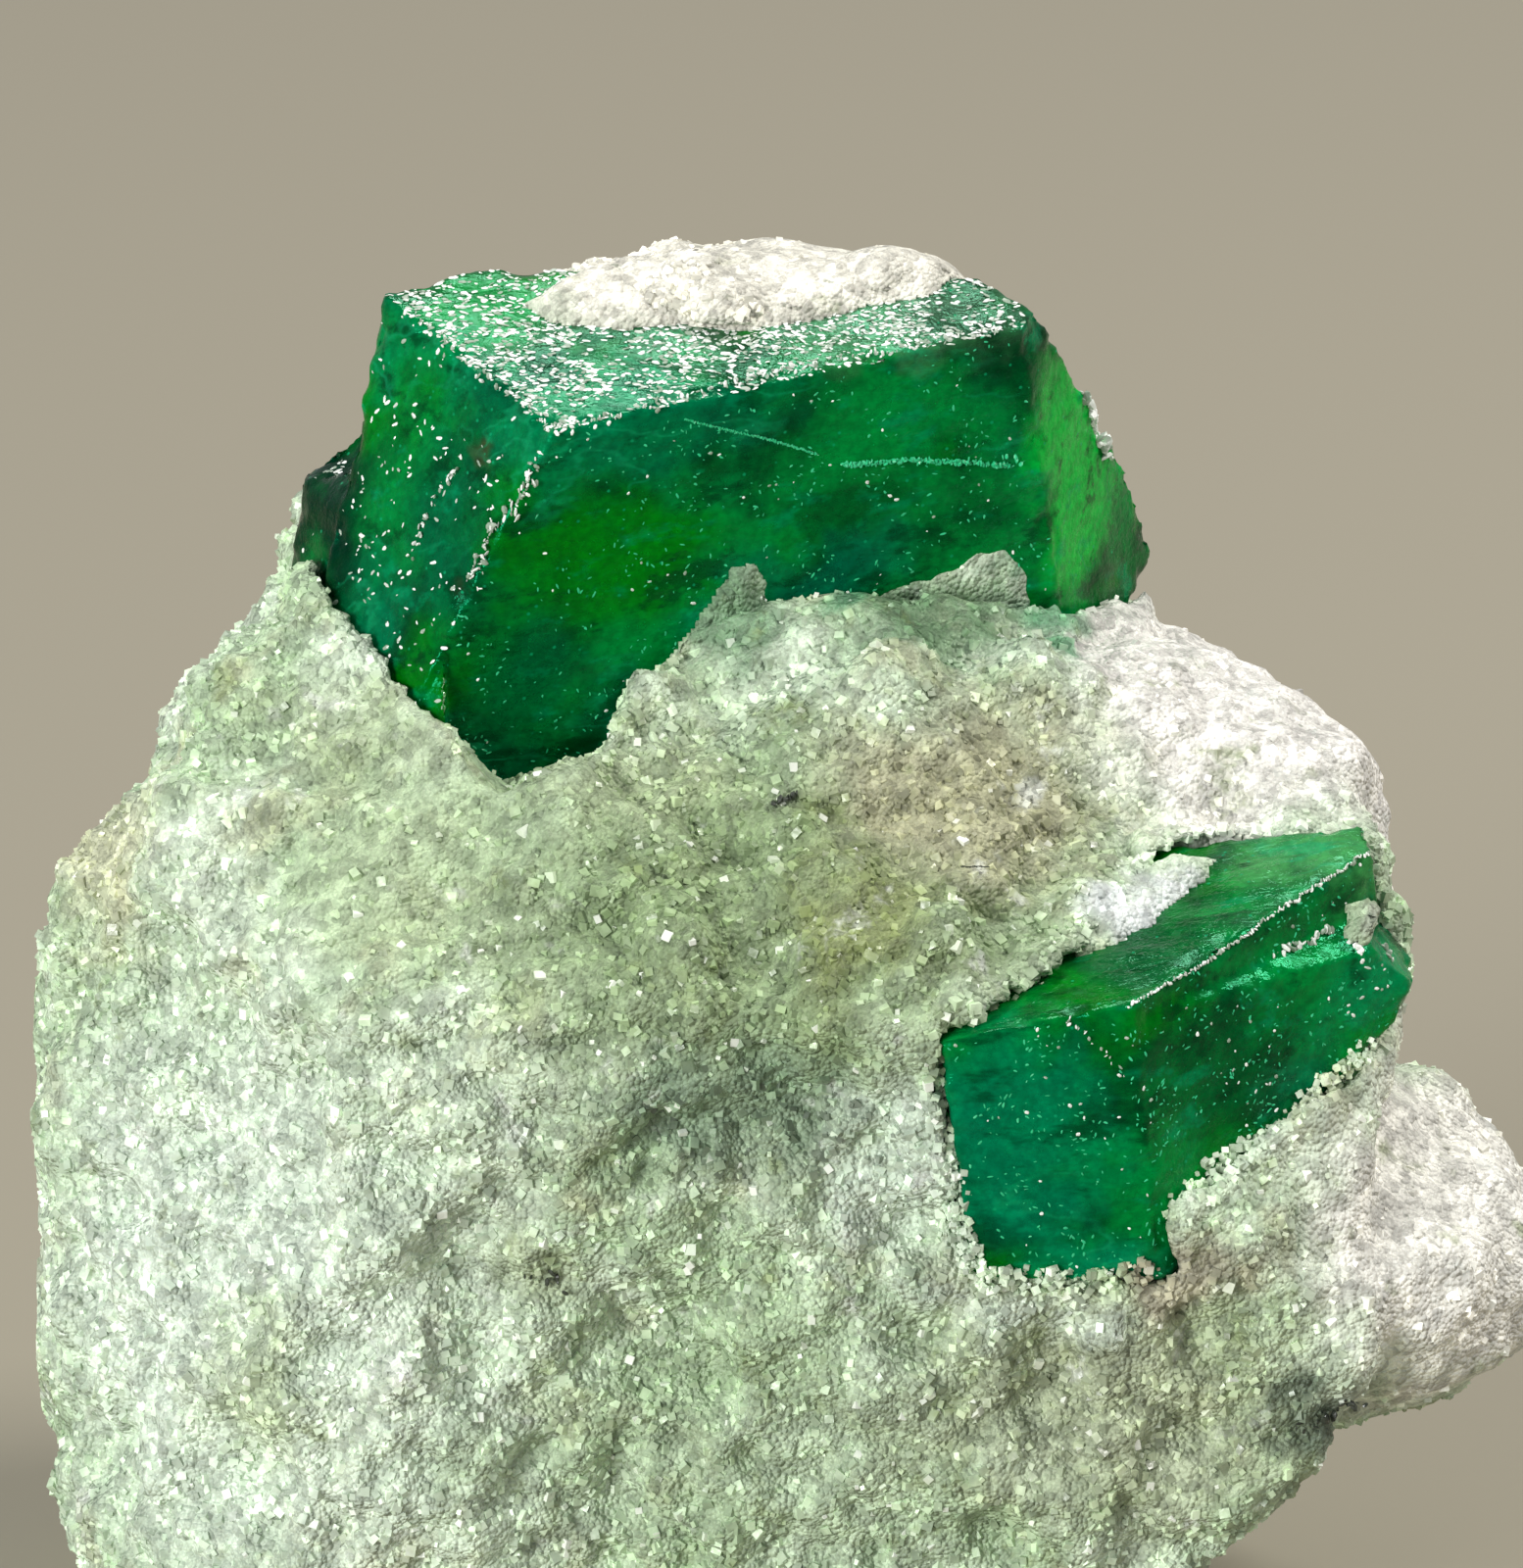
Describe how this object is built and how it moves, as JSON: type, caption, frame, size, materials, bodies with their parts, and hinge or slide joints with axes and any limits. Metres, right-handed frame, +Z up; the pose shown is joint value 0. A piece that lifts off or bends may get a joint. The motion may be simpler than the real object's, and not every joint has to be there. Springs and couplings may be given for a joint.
{
  "type": "emerald in matrix",
  "caption": "Natural mineral specimen: flat-faced green emerald crystals seated in a chunk of pale sugary rock, standing on a flat break.",
  "frame": {"origin": "under the middle of the bounding box, at the level of the flat foot", "axes": "+Z up, -Y the side that both crystals face, +X to the right as seen from that side"},
  "size_m": [0.0256, 0.0152, 0.0238],
  "materials": {
    "pale_sugary_rock": "matt and granular, pale mint green to cream white",
    "emerald": "glassy natural crystal faces, deep saturated green"
  },
  "bodies": {
    "root": {"matrix": "pale_sugary_rock", "large_crystal": "emerald", "small_crystal": "emerald"}
  },
  "joints": []
}
